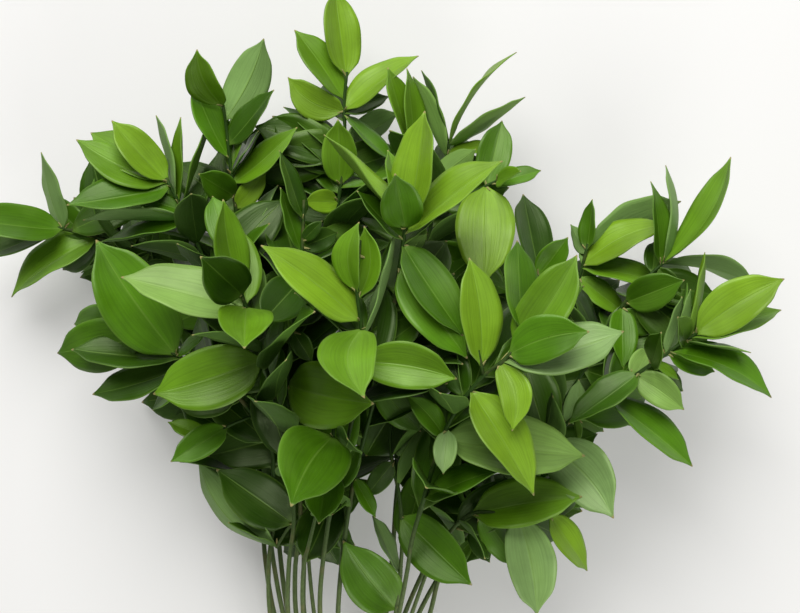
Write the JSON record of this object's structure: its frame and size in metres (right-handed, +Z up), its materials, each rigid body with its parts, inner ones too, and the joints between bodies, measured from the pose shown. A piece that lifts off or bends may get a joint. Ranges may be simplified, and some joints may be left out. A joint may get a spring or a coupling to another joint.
{
  "type": "ruscus bunch",
  "caption": "Loose bunch of cut ruscus: leafy stems with broad pointed leaves, lying flat, bare stem ends gathered side by side.",
  "frame": {"origin": "middle of the bunch's box, on the table that it lies on", "axes": "+Z up from the table, +Y from the cut stem ends to the leafy tips, +X to the right seen from above"},
  "size_m": [0.6202, 0.7598, 0.2465],
  "materials": {
    "foliage": "waxy green leaf"
  },
  "bodies": {
    "root": {"stem_right_main": "foliage", "stem_centre": "foliage", "stem_front_left": "foliage", "stem_middle_low": "foliage", "stem_top_front": "foliage", "stem_right_low": "foliage", "stem_right_branch": "foliage", "stem_left_low": "foliage", "stem_inner_left": "foliage", "stem_middle_back": "foliage", "stem_left_bottom": "foliage", "stem_upper_left": "foliage", "stem_top_left": "foliage", "stem_top_centre": "foliage", "stem_top_right": "foliage", "stem_right_upper": "foliage", "stem_right_middle": "foliage", "stem_far_left": "foliage"}
  },
  "joints": []
}
